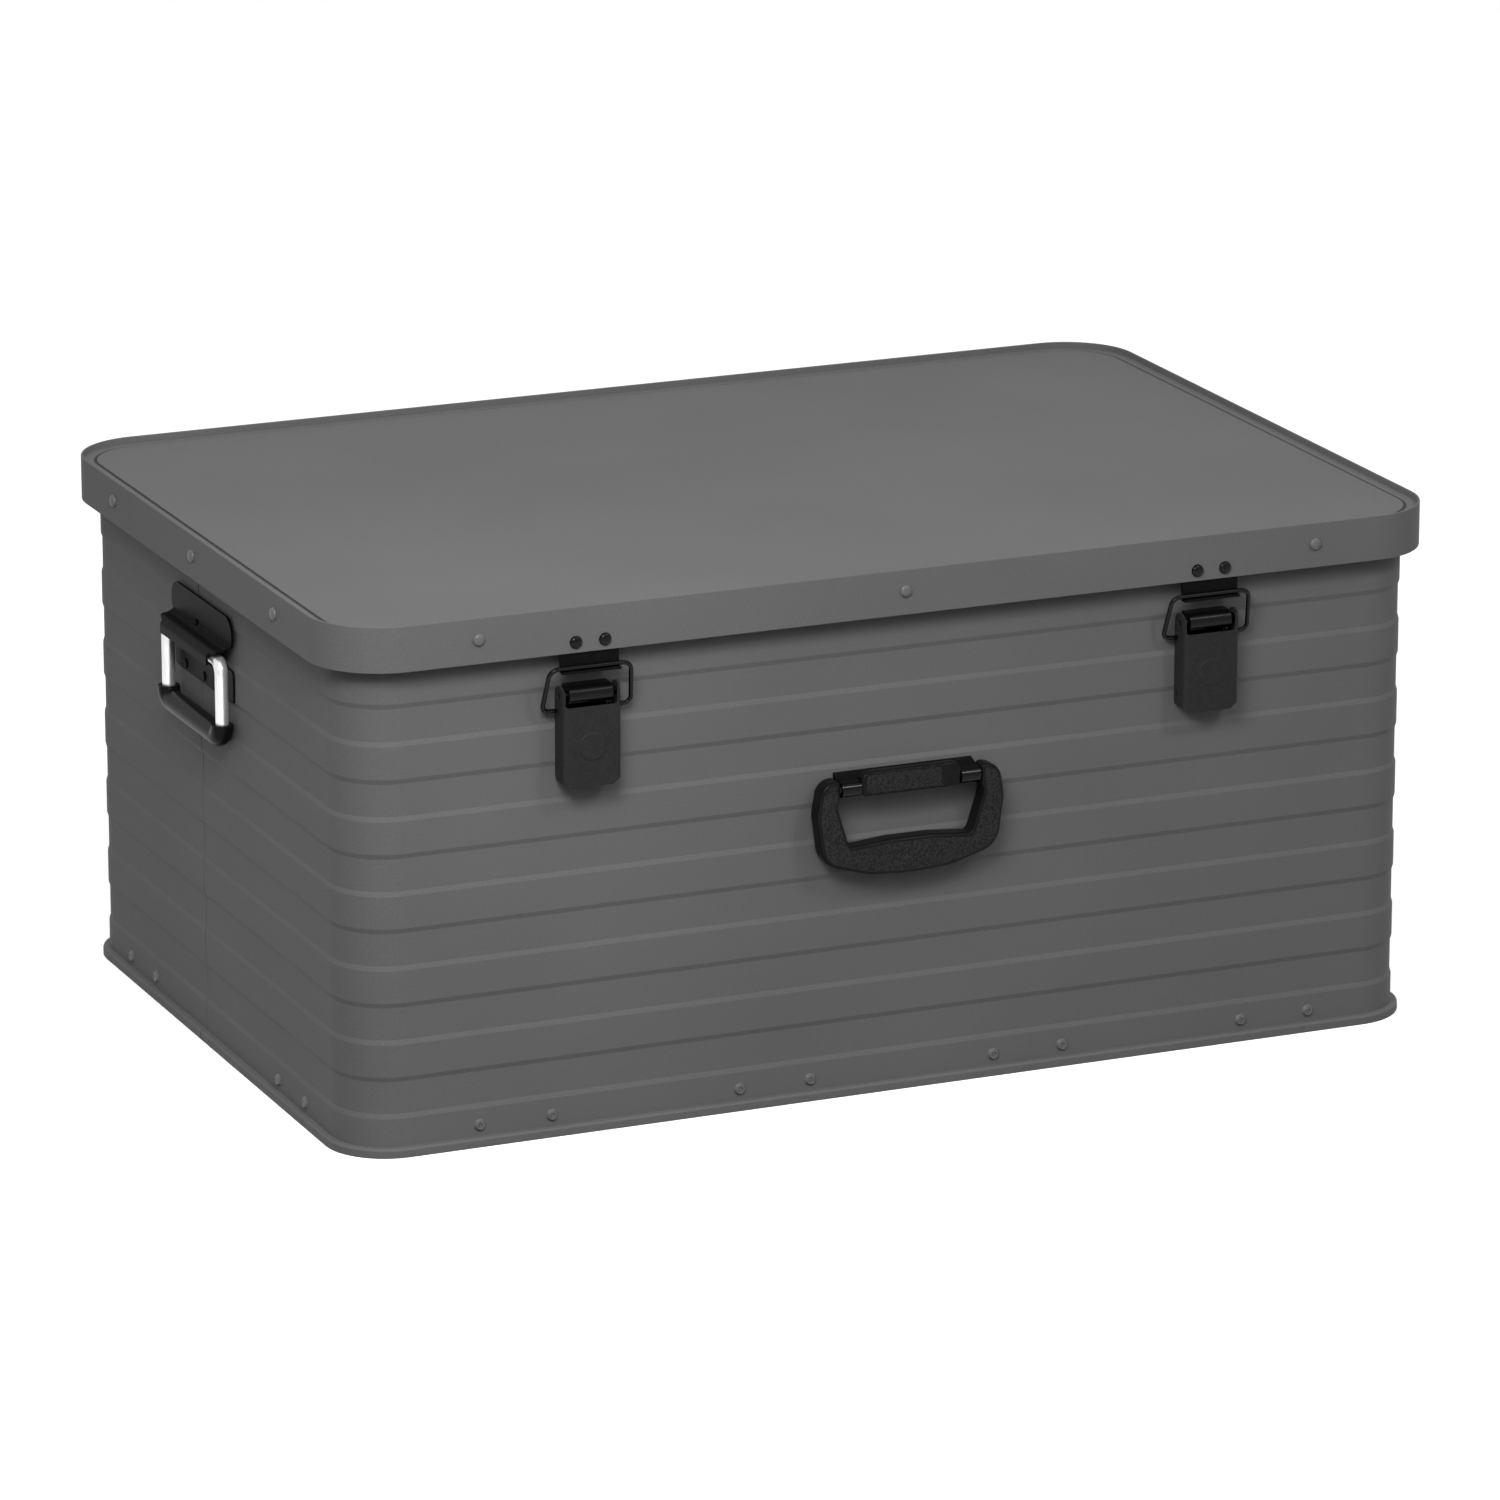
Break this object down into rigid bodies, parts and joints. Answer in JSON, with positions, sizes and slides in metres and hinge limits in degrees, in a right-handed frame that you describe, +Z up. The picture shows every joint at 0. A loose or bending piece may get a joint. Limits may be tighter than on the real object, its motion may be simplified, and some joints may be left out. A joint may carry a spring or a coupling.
{
  "type": "lidded transport box",
  "caption": "Ribbed sheet-aluminium transport box with an overlapping riveted hinged lid, toggle latches, a folding front handle and drop handles on the ends.",
  "frame": {"origin": "middle of the underside, on the floor it stands on", "axes": "+X along the length, the front with the latches faces -Y, +Z up"},
  "size_m": [0.8066, 0.5507, 0.362],
  "materials": {
    "grey_coat": "aluminium sheet under a fine-grained dark grey powder coat, matte",
    "black_steel": "black coated steel, satin",
    "black_gloss_steel": "black coated steel, semi-gloss",
    "zinc_steel": "bright zinc plate, satin",
    "textured_plastic": "black leather-grained plastic",
    "smooth_plastic": "black satin plastic",
    "seal_rubber": "matt foam rubber"
  },
  "bodies": {
    "box": {"body_wall": "grey_coat", "seam_strap": "grey_coat", "base_pan": "grey_coat", "base_rim": "grey_coat", "base_rivets": "grey_coat", "front_handle_bracket": "black_gloss_steel", "front_handle_rivets": "black_steel", "front_handle_pin": "black_steel", "front_handle_cover": "textured_plastic", "left_latch_base": "black_gloss_steel", "left_latch_base_rivets": "black_steel", "left_handle_plate": "black_steel", "left_handle_retainer": "black_steel", "left_handle_rivets": "black_steel", "left_hinge_body_leaf": "black_steel", "left_hinge_pin": "black_steel", "left_hinge_body_rivets": "black_steel", "right_latch_base": "black_gloss_steel", "right_latch_base_rivets": "black_steel", "right_handle_plate": "black_steel", "right_handle_retainer": "black_steel", "right_handle_rivets": "black_steel", "right_hinge_body_leaf": "black_steel", "right_hinge_pin": "black_steel", "right_hinge_body_rivets": "black_steel"},
    "lid": {"lid_panel": "grey_coat", "panel_bead": "seal_rubber", "lid_frame": "grey_coat", "lid_skirt": "grey_coat", "lid_rivets": "grey_coat", "lid_seal": "seal_rubber", "left_keeper": "black_gloss_steel", "left_keeper_rivets": "black_gloss_steel", "left_hinge_lid_leaf": "black_steel", "left_hinge_lid_rivets": "black_steel", "right_keeper": "black_gloss_steel", "right_keeper_rivets": "black_gloss_steel", "right_hinge_lid_leaf": "black_steel", "right_hinge_lid_rivets": "black_steel"},
    "left_lever": {"left_latch_lever": "black_steel", "left_latch_pin": "black_gloss_steel"},
    "left_bail": {"left_latch_bail": "black_gloss_steel"},
    "left_end_handle": {"left_handle_bar": "zinc_steel", "left_handle_grip": "smooth_plastic"},
    "right_lever": {"right_latch_lever": "black_steel", "right_latch_pin": "black_gloss_steel"},
    "right_bail": {"right_latch_bail": "black_gloss_steel"},
    "right_end_handle": {"right_handle_bar": "zinc_steel", "right_handle_grip": "smooth_plastic"},
    "front_grip": {"front_handle_grip": "textured_plastic"}
  },
  "joints": [
    {"name": "lid_hinge", "type": "hinge", "parent": "box", "child": "lid", "pos_m": [0, 0.273, 0.325], "axis": [-1, 0, 0], "range_deg": [0, 100]},
    {"name": "left_lever_pivot", "type": "hinge", "parent": "box", "child": "left_lever", "pos_m": [-0.2235, -0.2645, 0.302], "axis": [-1, 0, 0], "range_deg": [0, 120]},
    {"name": "left_bail_pivot", "type": "hinge", "parent": "left_lever", "child": "left_bail", "pos_m": [-0.2235, -0.261, 0.2915], "axis": [-1, 0, 0], "range_deg": [-108, 0]},
    {"name": "right_lever_pivot", "type": "hinge", "parent": "box", "child": "right_lever", "pos_m": [0.2235, -0.2645, 0.302], "axis": [-1, 0, 0], "range_deg": [0, 120]},
    {"name": "right_bail_pivot", "type": "hinge", "parent": "right_lever", "child": "right_bail", "pos_m": [0.2235, -0.261, 0.2915], "axis": [-1, 0, 0], "range_deg": [-108, 0]},
    {"name": "front_handle_pivot", "type": "hinge", "parent": "box", "child": "front_grip", "pos_m": [0.0036, -0.2685, 0.2163], "axis": [-1, 0, 0], "range_deg": [0, 110]},
    {"name": "left_end_handle_pivot", "type": "hinge", "parent": "box", "child": "left_end_handle", "pos_m": [-0.3957, 0.011, 0.284], "axis": [0, 1, 0], "range_deg": [0, 90]},
    {"name": "right_end_handle_pivot", "type": "hinge", "parent": "box", "child": "right_end_handle", "pos_m": [0.3957, 0.011, 0.284], "axis": [0, -1, 0], "range_deg": [0, 90]}
  ],
  "couplings": [
    {"joint": "left_bail_pivot", "follows": "left_lever_pivot", "ratio": -0.9},
    {"joint": "right_bail_pivot", "follows": "right_lever_pivot", "ratio": -0.9}
  ]
}
